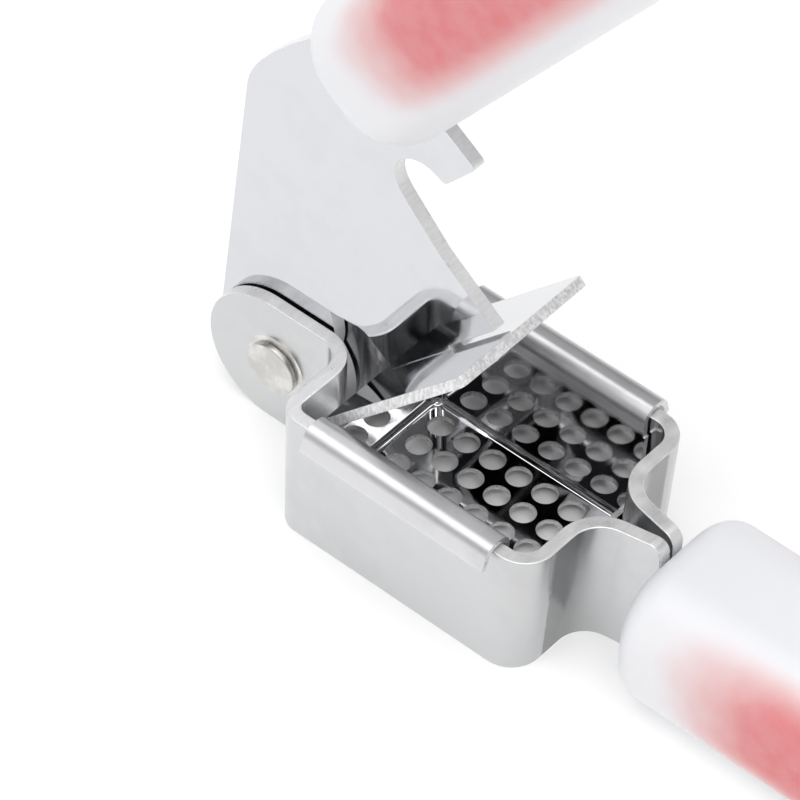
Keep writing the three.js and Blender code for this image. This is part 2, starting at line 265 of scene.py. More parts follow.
def tidy_mesh(piece: Piece) -> None:
    """Merges doubled vertices and turns all faces outwards."""
    with editing(piece):
        select_everything()
        bpy.ops.mesh.remove_doubles(threshold=1e-7)
        bpy.ops.mesh.normals_make_consistent(inside=False)


def copy_of(piece: Piece, name: str) -> Piece:
    """Copies a piece with its own mesh."""
    alone(piece)
    bpy.ops.object.duplicate(linked=False)
    twin = bpy.context.object
    twin.name = twin.data.name = name
    return twin


def dress(piece: Piece, *finishes: Finish) -> None:
    """Gives a piece these finishes, in the order of its slots."""
    piece.data.materials.clear()
    for finish in finishes:
        piece.data.materials.append(finish)


def dress_flat(piece: Piece, flat: Finish, edge: Finish, axis: int) -> None:
    """Gives a plate one finish on the faces that look along an axis, and another on its edges."""
    dress(piece, flat, edge)
    for face in piece.data.polygons:
        face.material_index = 0 if abs(face.normal[axis]) > 0.5 else 1


def fold(
    path: Sequence[tuple[float, ...]],
    lay: Callable[[float, float], Vector],
    axis: Vector,
    steps: int = 14,
) -> None:
    """Pulls the selected edge along straight runs and spins it round the bends between them.

    Args:
        path: Corners (a, b, bend radius) in millimetres. The edge stands on the first.
        lay: Turns (a, b) into a place in metres.
        axis: The direction that all bends turn about.
        steps: How many faces a right-angled bend has.
    """
    corners = [Vector(p[:2]) for p in path]
    at = corners[0]
    for i in range(1, len(path) - 1):
        before = (corners[i] - corners[i - 1]).normalized()
        after = (corners[i + 1] - corners[i]).normalized()
        turn = math.atan2(before.x * after.y - before.y * after.x, before.dot(after))
        radius = path[i][2]
        setback = radius * math.tan(abs(turn) / 2)
        start, end = corners[i] - before * setback, corners[i] + after * setback
        side = Vector((-before.y, before.x)) * math.copysign(1, turn)
        centre = start + side * radius
        pull(lay(*start) - lay(*at))
        count = max(3, round(abs(turn) / (math.pi / 2) * steps))
        bpy.ops.mesh.spin(steps=count, angle=-turn, center=lay(*centre), axis=axis)
        at = end
    pull(lay(*corners[-1]) - lay(*at))


# ---------- outlines ----------


def arc(x: float, z: float, radius: float, start: float, end: float, steps: int) -> list[Point]:
    """Points of an arc between two angles in degrees."""
    angles = [math.radians(start + (end - start) * i / steps) for i in range(steps + 1)]
    return [(x + radius * math.cos(a), z + radius * math.sin(a)) for a in angles]


def curve(points: Sequence[Point], steps: int = 8) -> list[Point]:
    """Points of a Bezier curve of any order, without its first point."""
    row = []
    for i in range(1, steps + 1):
        t = i / steps
        held = [Vector(p) for p in points]
        while len(held) > 1:
            held = [a.lerp(b, t) for a, b in zip(held, held[1:])]
        row.append((held[0].x, held[0].y))
    return row


def carry(points: list[Point], runs: Sequence[Run]) -> None:
    """Carries an outline on through these runs, each from where the last one ends."""
    for steps, *controls in runs:
        points += curve([points[-1], *controls], steps)


def turned(origin: Point, degrees: float, along: float, above: float) -> Point:
    """A point of axes that are turned about their origin."""
    x, z = origin
    a = math.radians(degrees)
    return (
        x + along * math.cos(a) - above * math.sin(a),
        z + along * math.sin(a) + above * math.cos(a),
    )


def ease(value: float, start: float, end: float) -> float:
    """Rises smoothly from 0 at start to 1 at end."""
    t = min(1.0, max(0.0, (value - start) / (end - start)))
    return t * t * (3 - 2 * t)


# ---------- node helpers ----------


class Bench:
    """A material's node tree with short ways to add to it."""

    def __init__(self, name: str) -> None:
        """Starts an empty material with a Principled shader."""
        self.finish = bpy.data.materials.new(name)
        self.finish.use_nodes = True
        self.tree = self.finish.node_tree
        self.shader = self.tree.nodes["Principled BSDF"]
        self.coords = self.tree.nodes.new("ShaderNodeTexCoord").outputs["Object"]

    def add(self, kind: str, inputs: dict[int | str, object], **values: object) -> bpy.types.Node:
        """Adds a node, sets its properties, and feeds its inputs with values or sockets."""
        node = self.tree.nodes.new(kind)
        for key, value in values.items():
            setattr(node, key, value)
        for key, value in inputs.items():
            if isinstance(value, bpy.types.NodeSocket):
                self.tree.links.new(value, node.inputs[key])
            else:
                node.inputs[key].default_value = value
        return node

    def placed(
        self,
        scale: Sequence[float] = (1, 1, 1),
        turn: Sequence[float] = (0, 0, 0),
        origin: Sequence[float] = (0, 0, 0),
    ) -> Socket:
        """Coordinates measured from an origin on turned axes, then scaled."""
        inputs = {"Vector": self.coords, "Location": origin, "Rotation": turn}
        centred = self.add("ShaderNodeMapping", inputs, vector_type="TEXTURE").outputs[0]
        inputs = {"Vector": centred, "Scale": scale}
        return self.add("ShaderNodeMapping", inputs, vector_type="POINT").outputs[0]

    def axes(self, vector: Socket) -> Sequence[Socket]:
        """A vector's X, Y and Z."""
        return self.add("ShaderNodeSeparateXYZ", {0: vector}).outputs

    def noise(self, vector: Socket, scale: float, detail: float = 3, rough: float = 0.5) -> Socket:
        """Noise from 0 to 1."""
        inputs = {"Vector": vector, "Scale": scale, "Detail": detail, "Roughness": rough}
        return self.add("ShaderNodeTexNoise", inputs).outputs[0]

    def spread(
        self, value: Socket, low: float, high: float, to_low: float = 0, to_high: float = 1
    ) -> Socket:
        """Maps a range smoothly onto another."""
        inputs = {0: value, 1: low, 2: high, 3: to_low, 4: to_high}
        return self.add("ShaderNodeMapRange", inputs, interpolation_type="SMOOTHSTEP").outputs[0]

    def math(self, how: str, a: Socket | float, b: Socket | float = 0) -> Socket:
        """One step of arithmetic."""
        return self.add("ShaderNodeMath", {0: a, 1: b}, operation=how).outputs[0]

    def product(self, first: Socket, *others: Socket | float) -> Socket:
        """Multiplies values, from the first to the last."""
        for other in others:
            first = self.math("MULTIPLY", first, other)
        return first

    def blend(self, share: Socket | float, a: Socket | Colour, b: Socket | Colour) -> Socket:
        """Mixes two colours."""
        inputs = {0: share, 6: a if isinstance(a, bpy.types.NodeSocket) else (*a, 1)}
        inputs[7] = b if isinstance(b, bpy.types.NodeSocket) else (*b, 1)
        return self.add("ShaderNodeMix", inputs, data_type="RGBA").outputs[2]

    def bump(self, height: Socket, depth: float, below: Socket | None = None) -> Socket:
        """A normal from a height, so many metres deep, over another bump if one is given."""
        inputs = {"Height": height, "Distance": depth, "Strength": 1.0}
        if below is not None:
            inputs["Normal"] = below
        return self.add("ShaderNodeBump", inputs).outputs[0]

    def feed(self, **sockets: Socket) -> None:
        """Links sockets to the shader's inputs, whose names have spaces for underscores."""
        for key, socket in sockets.items():
            self.tree.links.new(socket, self.shader.inputs[key.replace("_", " ")])

    def fix(self, **values: float | Colour) -> None:
        """Sets values on the shader's own inputs."""
        for key, value in values.items():
            entry = (*value, 1) if isinstance(value, tuple) and len(value) == 3 else value
            self.shader.inputs[key.replace("_", " ")].default_value = entry


MARK_COLOUR = (0.3, 0.3, 0.31)
MARK_DEPTH = 0.03  # of the tool's line, in millimetres
# Colour of the painted shade in the strips' hollow bend.
PAINTED_SHADE_COLOUR = (0.14, 0.14, 0.142)


@dataclass(frozen=True)
class SheetFinish:
    """Rolled and polished sheet steel."""

    name: str
    bright: Colour
    dull: Colour
    smooth_roughness: float
    worn_roughness: float
    wave: float = 0.02  # depth of the slow waves of hand polishing, in millimetres
    wave_length: float = 14.0
    scratch: float = 0.0004  # depth of the fine scratches
    grain: tuple[float, float, float] = (1.0, 1.0, 0.06)
    satin_above: tuple[float, float] | None = None  # levels between which it turns satin
    satin: float = 0.26
    bend_mark: tuple[float, float] | None = None  # a tool's line: least X, and Y either side
    hollow: tuple[float, float, float, float] | None = None  # painted shade in the hollow bend: X, Y, reach

    def make(self) -> Finish:
        """Builds the material, with blotches, slow waves and fine scratches."""
        bench = Bench(self.name)
        blotch = bench.noise(bench.coords, 260, 6, 0.62)
        cloud = bench.noise(bench.coords, 70, 3, 0.5)
        wear = bench.spread(bench.product(blotch, cloud), 0.2, 0.36)
        fine = bench.noise(bench.placed(scale=self.grain), 9000, 4, 0.7)
        aslant = bench.placed(scale=(1.0, 1.0, 0.05), turn=(0.4, 0.7, 0.2))
        crossed = bench.noise(aslant, 5200, 3, 0.6)
        slow = bench.noise(bench.coords, 1000 / self.wave_length, 1.5, 0.4)
        colour = bench.blend(wear, self.bright, self.dull)
        rough = bench.spread(wear, 0, 1, self.smooth_roughness, self.worn_roughness)
        normal = bench.bump(slow, self.wave * MM)
        normal = bench.bump(fine, self.scratch * MM, normal)
        normal = bench.bump(crossed, self.scratch * 0.7 * MM, normal)
        x, y, z = bench.axes(bench.coords)
        off = bench.math("ABSOLUTE", y)
        if self.satin_above is not None:
            low, high = (level * MM for level in self.satin_above)
            rough = bench.math("MAXIMUM", rough, bench.spread(z, low, high, 0, self.satin))
        if self.bend_mark is not None:
            line = self.mark_share(bench, x, off)
            colour = bench.blend(bench.product(line, 0.5), colour, MARK_COLOUR)
            normal = bench.bump(line, -MARK_DEPTH * MM, normal)
        # Painted shade: the hollow bend's colour is darkened, standing in for the shadowed floor
        # that the bend would mirror.
        if self.hollow is not None:
            colour = bench.blend(self.painted_shade_share(bench, x, off), colour, PAINTED_SHADE_COLOUR)
        bench.feed(Base_Color=colour, Roughness=rough, Normal=normal)
        bench.fix(Metallic=1.0)
        return bench.finish

    def mark_share(self, bench: Bench, x: Socket, off: Socket) -> Socket:
        """How strongly the bending tool's broken line shows, so far off the middle plane."""
        least_x, level = (place * MM for place in self.bend_mark)
        apart = bench.math("ABSOLUTE", bench.math("SUBTRACT", off, level))
        line = bench.spread(apart, 0.04 * MM, 0.22 * MM, 1, 0)
        ahead = bench.math("GREATER_THAN", x, least_x)
        broken = bench.noise(bench.placed(scale=(0.2, 0.2, 1)), 900, 2, 0.6)
        return bench.product(line, ahead, bench.spread(broken, 0.42, 0.58))

    def painted_shade_share(self, bench: Bench, x: Socket, off: Socket) -> Socket:
        """How much painted shade darkens the hollow bend: most in its middle, and little beyond the
        tool's line.
        """
        at_x, at_y, near, far = (place * MM for place in self.hollow)
        ways = bench.math("SUBTRACT", x, at_x), bench.math("SUBTRACT", off, at_y)
        apart = bench.math("SQRT", bench.math("ADD", *(bench.product(way, way) for way in ways)))
        side = bench.spread(off, at_y + 0.5 * MM, at_y + 1.1 * MM, 1, 0.25)
        return bench.product(bench.spread(apart, near, far, 0.7, 0), side)


@dataclass(frozen=True)
class ShearedFinish:
    """The edge of a sheet as the shears leave it: part burnished, part torn, and matt."""

    name: str
    bright: Colour
    dull: Colour
    metal: float = 0.45
    roughness: float = 0.36
    tear: float = 0.012  # depth of the torn marks, in millimetres
    run: tuple[float, float, float] = (1.0, 0.12, 1.0)

    def make(self) -> Finish:
        """Builds the material, with marks that run across the sheet."""
        bench = Bench(self.name)
        marks = bench.noise(bench.placed(scale=self.run), 2600, 3, 0.6)
        specks = bench.noise(bench.coords, 1500, 5, 0.7)
        cloud = bench.noise(bench.coords, 300, 3, 0.5)
        tone = bench.spread(bench.math("ADD", marks, bench.product(specks, 0.6)), 0.5, 1.1)
        bench.feed(
            Base_Color=bench.blend(tone, self.dull, self.bright),
            Roughness=bench.spread(cloud, 0.3, 0.7, self.roughness - 0.1, self.roughness + 0.12),
        )
        normal = bench.bump(marks, self.tear * MM)
        bench.feed(Normal=bench.bump(specks, self.tear * 0.5 * MM, normal))
        bench.fix(Metallic=self.metal)
        return bench.finish


@dataclass(frozen=True)
class MilkyFinish:
    """A milky soft sleeve over a red core, which glows through at its flanks."""

    name: str
    milk: Colour = (0.86, 0.865, 0.89)
    pink: Colour = (0.80, 0.50, 0.50)
    red: Colour = (0.74, 0.20, 0.21)
    fade: tuple[float, float] = (2.6, 29.4)  # where the red comes up, behind the nose
    end: tuple[float, float] = (80.0, 94.0)  # and where it goes again, before the cap
    flank: tuple[float, float] = (5.3, 12.5)  # from the top's middle to the full flank
    under: tuple[float, float] = (-9.5, -1.5)  # and how low it fades out, below the middle
    drift: float = 7.0  # how far the fade wanders along the grip

    def make(self, nose: Vector, slope: float) -> Finish:
        """Builds the material for a grip with its nose here, turned so far about Y."""
        bench = Bench(self.name)
        own = bench.placed(origin=nose, turn=(0, slope, 0), scale=(1000, 1000, 1000))
        along, across, level = bench.axes(own)
        drift = bench.product(bench.noise(own, 0.12, 2, 0.5), self.drift)
        along = bench.math("ADD", along, bench.math("SUBTRACT", drift, self.drift / 2))
        share = bench.product(
            bench.spread(along, *self.fade),
            bench.spread(along, *self.end, 1, 0),
            bench.spread(bench.math("ABSOLUTE", across), *self.flank),
            bench.spread(level, *self.under),
        )
        warm = bench.blend(bench.spread(share, 0.0, 0.55), self.milk, self.pink)
        colour = bench.blend(bench.spread(share, 0.4, 1.0), warm, self.red)
        mottle = bench.noise(own, 0.35, 3, 0.5)
        colour = bench.blend(bench.spread(mottle, 0.3, 0.7, 0.0, 0.08), colour, (0.9, 0.9, 0.92))
        skin = bench.noise(own, 5.5, 3, 0.6)
        bench.feed(
            Base_Color=colour,
            Roughness=bench.spread(skin, 0.2, 0.8, 0.36, 0.5),
            Normal=bench.bump(skin, 0.008 * MM),
        )
        bench.fix(Metallic=0.0, IOR=1.46, Coat_Weight=0.08, Coat_Roughness=0.35)
        return bench.finish


@dataclass(frozen=True)
class MouldedFinish:
    """Plain moulded plastic with a faint grain."""

    name: str
    colour: Colour
    shade: Colour
    roughness: float = 0.42

    def make(self) -> Finish:
        """Builds the material."""
        bench = Bench(self.name)
        cloud = bench.noise(bench.coords, 180, 3, 0.5)
        grain = bench.noise(bench.coords, 5200, 3, 0.6)
        bench.feed(
            Base_Color=bench.blend(bench.spread(cloud, 0.25, 0.75), self.colour, self.shade),
            Roughness=bench.spread(grain, 0.2, 0.8, self.roughness - 0.05, self.roughness + 0.08),
            Normal=bench.bump(grain, 0.008 * MM),
        )
        bench.fix(Metallic=0.0, IOR=1.46)
        return bench.finish


STRIP_SHEET = SheetFinish(
    "strip_sheet",
    (0.625, 0.63, 0.635),
    (0.605, 0.61, 0.615),
    0.22,
    0.26,
    wave=0.008,
    scratch=0.0005,
    bend_mark=(-36.0, 11.0),
    # Painted shade darkens the strips' hollow bend here.
    hollow=(-26.1, 10.2, 1.5, 9.5),
)
PLATE_SHEET = SheetFinish(
    "lever_sheet", (0.675, 0.68, 0.70), (0.66, 0.665, 0.685), 0.035, 0.07, wave=0.012
)
BASKET_SHEET = SheetFinish(
    "basket_sheet",
    (0.72, 0.72, 0.73),
    (0.66, 0.66, 0.67),
    0.03,
    0.06,
    wave=0.02,
    wave_length=9.0,
    grain=(0.03, 1.0, 1.0),
    satin_above=(17.2, 19.4),
    satin=0.44,
)
SHEARED = ShearedFinish("sheared_edge", (0.86, 0.86, 0.86), (0.76, 0.76, 0.765), tear=0.005)
SHEARED_ACROSS = ShearedFinish(
    "sheared_plate_edge", (0.95, 0.95, 0.95), (0.84, 0.84, 0.845), metal=0.15, tear=0.006
)
SERRATED = ShearedFinish(
    "torn_presser_edge",
    (0.99, 0.99, 0.99),
    (0.56, 0.56, 0.57),
    metal=0.15,
    roughness=0.28,
    tear=0.02,
    run=(1.0, 1.0, 0.3),
)
PUNCHED = ShearedFinish(
    "punched_edge", (0.86, 0.86, 0.86), (0.55, 0.55, 0.56), metal=0.7, roughness=0.28, tear=0.004
)
HEADED = SheetFinish(
    "rivet_head", (0.74, 0.73, 0.71), (0.60, 0.59, 0.57), 0.26, 0.42, wave=0.01, scratch=0.002
)
DRAWN = SheetFinish("drawn_pin", (0.62, 0.62, 0.63), (0.52, 0.52, 0.53), 0.3, 0.45, scratch=0.001)
CORE = MouldedFinish("red_core", (0.58, 0.035, 0.04), (0.48, 0.02, 0.03), 0.36)
CAP = MouldedFinish("milky_cap", (0.86, 0.865, 0.89), (0.82, 0.83, 0.86), 0.42)


# ---------- sub-assemblies ----------


def hang(piece: Piece, body: str, slot: str, *nodes: str) -> None:
    """Ties a finished piece to its body, and hides the CAD nodes it stands for."""
    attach(piece, body)
    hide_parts(*nodes)
    LOG.info("%s: %d faces", piece.name, len(piece.data.polygons))


@dataclass
class Layout:
    """Where the press stands: the hinge axis in metres and how far the lever is open."""

    hinge: Vector
    open_angle: float = 46.9

    def stand(self, piece: Piece, opened: bool = False) -> None:
        """Moves a mesh from the hinge's own axes to the frame, turned if it is drawn closed."""
        piece.data.transform(self.matrix(opened))
        piece.data.update()

    def matrix(self, opened: bool) -> Matrix:
        """The move from the hinge's own axes to the frame."""
        turn = math.radians(-self.open_angle if opened else 0.0)
        return Matrix.Translation(self.hinge) @ Matrix.Rotation(turn, 4, "Y")


@dataclass
class SideStrips:
    """The two bent side strips."""

    layout: Layout
    thickness: float = 2.0
    half_height: float = 10.3
    ear_setback: float = 1.2
    ear_plane: float = 2.3
    hinge_wall: float = 12.3
    side_plane: float = 15.2
    front_wall: float = 51.8
    neck_plane: float = 3.1
    tang_plane: float = 1.15
    neck_end: float = 62.2
    neck_round: float = 1.8
    tang_end: float = 128.0
    tang_half: float = 5.0
    bore: float = 3.0
    lean: float = 1.2  # how far the front wall leans in at its foot
    lean_from: tuple[float, float] = (40.0, 48.0)  # where along X the lean comes in
    lean_until: tuple[float, float] = (54.5, 61.2)  # and where it goes again
    pin_bore: float = 2.3
    pins: tuple[float, ...] = (88.4, 114.4)
    rim: float = 0.28

    def outline(self) -> list[Point]:
        """The strip's side outline: round ear, straight rims, rounded neck and tang."""
        top, tang, curl = self.half_height, self.tang_half, self.neck_round
        return [
            *arc(self.neck_end - curl, -top + curl, curl, -90, 0, 8),
            (self.neck_end, -tang),
            (self.tang_end, -tang),
            (self.tang_end, tang),
            (self.neck_end, tang),
            *arc(self.neck_end - curl, top - curl, curl, 0, 90, 8),
            *arc(-self.ear_setback, 0, top, 90, 270, 56),
        ]

    def near_strip(self, sheet: Finish, edge: Finish) -> Piece:
        """Bends, trims and bores the near strip, on the hinge's own axes."""
        start = -2 * self.half_height
        bpy.ops.mesh.primitive_plane_add(
            size=1,
            location=((start + 1) * MM, -self.ear_plane * MM, 0),
            rotation=(math.pi / 2, 0, 0),
        )
        bpy.context.object.scale = (2 * MM, (2 * self.half_height + 2) * MM, 1)
        strip = added("near_strip")
        with editing(strip):
            end = (start + 1.9) * MM
            pick(strip, Part.EDGE, lambda at, along: at.x > end and abs(along.z) > 0.9)
            fold(
                [
                    (start + 2, -self.ear_plane),
                    (self.hinge_wall, -self.ear_plane, 4.4),
                    (self.hinge_wall, -self.side_plane, 2.4),
                    (self.front_wall, -self.side_plane, 3.6),
                    (self.front_wall, -self.neck_plane, 5.4),
                    (self.neck_end, -self.tang_plane, 20.0),
                    (self.tang_end + 1, -self.tang_plane),
                ],
                lambda a, b: Vector((a * MM, b * MM, 0)),
                Vector((0, 0, 1)),
            )
        tidy_mesh(strip)
        dress(strip, sheet)
        apply_modifier(
            strip, "SOLIDIFY", thickness=self.thickness * MM, offset=0, use_even_offset=True
        )
        form = traced("strip_form", self.outline(), -30, 30)
        dress(form, edge)
        join(strip, form, Join.KEEP_COMMON)
        drill(strip, (0, -self.ear_plane, 0), self.bore, edge)
        for x in self.pins:
            drill(strip, (x, -self.tang_plane, 0), self.pin_bore, edge, 24)
        soften(strip, self.rim, 3)
        self.tilt_front(strip, self.lean_from)
        return strip

    def tilt_front(self, piece: Piece, comes: tuple[float, float]) -> None:
        """Leans the front wall of a strip or the basket in towards its foot.

        An even slope with a soft start has no operator of its own, so its vertices are moved.
        """
        for vertex in piece.data.vertices:
            x, z = vertex.co.x / MM, vertex.co.z / MM
            share = ease(x, *comes) * (1 - ease(x, *self.lean_until))
            drop = min(1.0, max(0.0, (self.half_height - z) / (2 * self.half_height)))
            vertex.co.x -= self.lean * drop * share * MM
        piece.data.update()

    def build(self, sheet: Finish, edge: Finish) -> None:
        """Builds both strips and hangs them on the frame."""
        near = self.near_strip(sheet, edge)
        far = copy_of(near, "far_strip")
        with editing(far):
            select_everything()
            bpy.ops.transform.resize(value=(1, -1, 1), center_override=(0, 0, 0))
            bpy.ops.mesh.normals_make_consistent(inside=False)
        smooth(far)
        for strip, node in ((near, "near_side_strip"), (far, "far_side_strip")):
            self.layout.stand(strip)
            hang(strip, "frame", "strip_steel", node)


@dataclass
class HingeRivet:
    """The rivet that the lever turns on."""

    layout: Layout
    shaft: float = 2.7
    face: float = 3.45
    # How far each step of a head rises, and its radius there: undercut, side, edge and crown.
    head: tuple[Point, ...] = (
        (0.0, 3.4), (0.26, 3.9), (0.70, 3.9), (0.09, 3.62), (0.06, 3.0), (0.04, 2.0), (0.01, 0.8)
    )

    def build(self, finish: Finish) -> None:
        """Turns the rivet from one bar."""
        rivet = bar("rivet", (0, 0, 0), self.shaft, 2 * self.face, upright=False, sides=72)
        for side in (-1, 1):
            with editing(rivet):
                pick(rivet, Part.FACE, lambda at, out: out.y * side > 0.9)
                held = self.shaft
                for rise, radius in self.head:
                    pull((0, side * rise * MM, 0))
                    by = radius / held
                    bpy.ops.transform.resize(value=(by, 1, by), center_override=(0, 0, 0))
                    held = radius
        dress(rivet, finish)
        soften(rivet, 0.14, 3, 48)
        self.layout.stand(rivet)
        hang(rivet, "frame", "rivet_steel", "hinge_rivet")


@dataclass
class StrainerBasket:
    """The pressed and punched basket that hangs on the strips' rims."""

    layout: Layout
    strips: SideStrips
    low_x: float = 13.6
    high_x: float = 50.5
    half_y: float = 13.9
    sheet: float = 0.8
    base_top: float = -8.2
    wall_top: float = 7.3
    corner: float = 2.0  # bend radii on the middle of the sheet
    foot: float = 1.3
    taper: float = 1.0  # how far each long wall leans in at its foot
    flange: tuple[float, float] = (17.3, 47.1)
    crest: float = 11.2
    outside: float = 17.0
    flare: float = 0.9
    drop: float = 3.0
    roll: float = 1.55
    end_top: float = 1.2  # top of both end walls, which the lever passes over
    shoulder: float = 0.3  # how far the long walls run on past the flanges' ends
    rows: tuple[int, int] = (7, 5)
    pitch: float = 4.4
    hole: float = 1.79
    first_x: float = 18.0
    lean_from: tuple[float, float] = (46.7, 49.2)

    def tray(self) -> Piece:
        """Presses the open tray, as a single skin on the middle of the sheet."""
        half = self.sheet / 2
        wall = self.half_y - half
        tray = block(
            "basket",
            (self.low_x + half, -wall, self.base_top - half),
            (self.high_x - half, wall, self.wall_top),
        )
        foot = (self.base_top - half) * MM
        with editing(tray):
            pick(tray, Part.FACE, lambda at, out: out.z < -0.9)
            narrow = (wall - self.taper) / wall
            bpy.ops.transform.resize(value=(1, narrow, 1), center_override=(0, 0, 0))
            pick(tray, Part.FACE, lambda at, out: out.z > 0.9)
            bpy.ops.mesh.delete(type="FACE")
            pick(tray, Part.EDGE, lambda at, along: abs(along.z) > 0.9)
            bpy.ops.mesh.bevel(offset=self.corner * MM, segments=10, affect="EDGES")
            pick(tray, Part.EDGE, lambda at, along: abs(at.z - foot) < CLOSE and abs(along.z) < 0.1)
            bpy.ops.mesh.bevel(offset=self.foot * MM, segments=8, affect="EDGES")
        return tray

    def roll_flange(self, tray: Piece, side: int) -> None:
        """Pulls one long wall up, -1 for the near and 1 for the far one, and rolls it over."""
        wall = self.half_y - self.sheet / 2
        with editing(tray):
            for x in self.flange:
                pick(tray, Part.FACE, lambda at, out: at.y * side > 0 and abs(out.y) > 0.9)
                bpy.ops.mesh.bisect(plane_co=(x * MM, 0, 0), plane_no=(1, 0, 0), threshold=CLOSE)
            low, high = self.flange
            pick(
                tray,
                Part.EDGE,
                lambda at, along: at.y * side > (wall - 0.01) * MM
                and at.z > (self.wall_top - 0.01) * MM
                and low * MM < at.x < high * MM
                and abs(along.x) > 0.9,
            )
            fold(
                [
                    (side * wall, self.wall_top),
                    (side * wall, self.crest, self.roll),
                    (side * self.outside, self.crest, self.roll),
                    (side * (self.outside + self.flare), self.crest - self.drop),
                ],
                lambda a, b: Vector((0, a * MM, b * MM)),
                Vector((1, 0, 0)),
                steps=10,
            )

    def punches(self) -> Piece:
        """All the punches, as one cutter."""
        first = (self.first_x, -(self.rows[1] - 1) / 2 * self.pitch, self.base_top)
        punch = bar("punch", first, self.hole, 4, upright=True, sides=40)
        for count, way in zip(self.rows, ((1, 0, 0), (0, 1, 0))):
            values = {"use_relative_offset": False, "use_constant_offset": True}
            values["constant_offset_displace"] = [self.pitch * MM * c for c in way]
            apply_modifier(punch, "ARRAY", count=count, **values)
        return punch

    def cells(self, tray: Piece) -> None:
        """Scores the tray's floor between the holes, so that each is cut in its own cell."""
        foot = (self.base_top - self.sheet / 2) * MM
        columns, rows = self.rows
        lines = [(self.first_x + (i - 0.5) * self.pitch, (1, 0, 0)) for i in range(1, columns)]
        lines += [((j - rows / 2) * self.pitch, (0, 1, 0)) for j in range(1, rows)]
        with editing(tray):
            for level, across in lines:
                pick(
                    tray, Part.FACE, lambda at, out: abs(at.z - foot) < CLOSE and abs(out.z) > 0.99
                )
                at_point = Vector(across) * level * MM
                bpy.ops.mesh.bisect(plane_co=at_point, plane_no=across, threshold=CLOSE)

    def build(self, sheet: Finish, edge: Finish) -> None:
        """Builds the basket and hangs it on the frame."""
        tray = self.tray()
        for side in (-1, 1):
            self.roll_flange(tray, side)
        self.cells(tray)
        tidy_mesh(tray)
        dress(tray, sheet, edge)
        values = {"thickness": self.sheet * MM, "offset": 0, "use_even_offset": True}
        apply_modifier(tray, "SOLIDIFY", material_offset_rim=1, **values)
        wide, top = self.half_y + 2, self.wall_top + 2
        for low, high in (
            (self.low_x - 2, self.flange[0] - self.shoulder),
            (self.flange[1] + self.shoulder, self.high_x + 2),
        ):
            cut_box(tray, (low, -wide, self.end_top), (high, wide, top), edge)
        punches = self.punches()
        dress(punches, edge)
        join(tray, punches, Join.CUT_AWAY)
        soften(tray, 0.2, 3, 45)
        self.strips.tilt_front(tray, self.lean_from)
        self.layout.stand(tray)
        hang(tray, "frame", "strainer_steel", "strainer_basket")


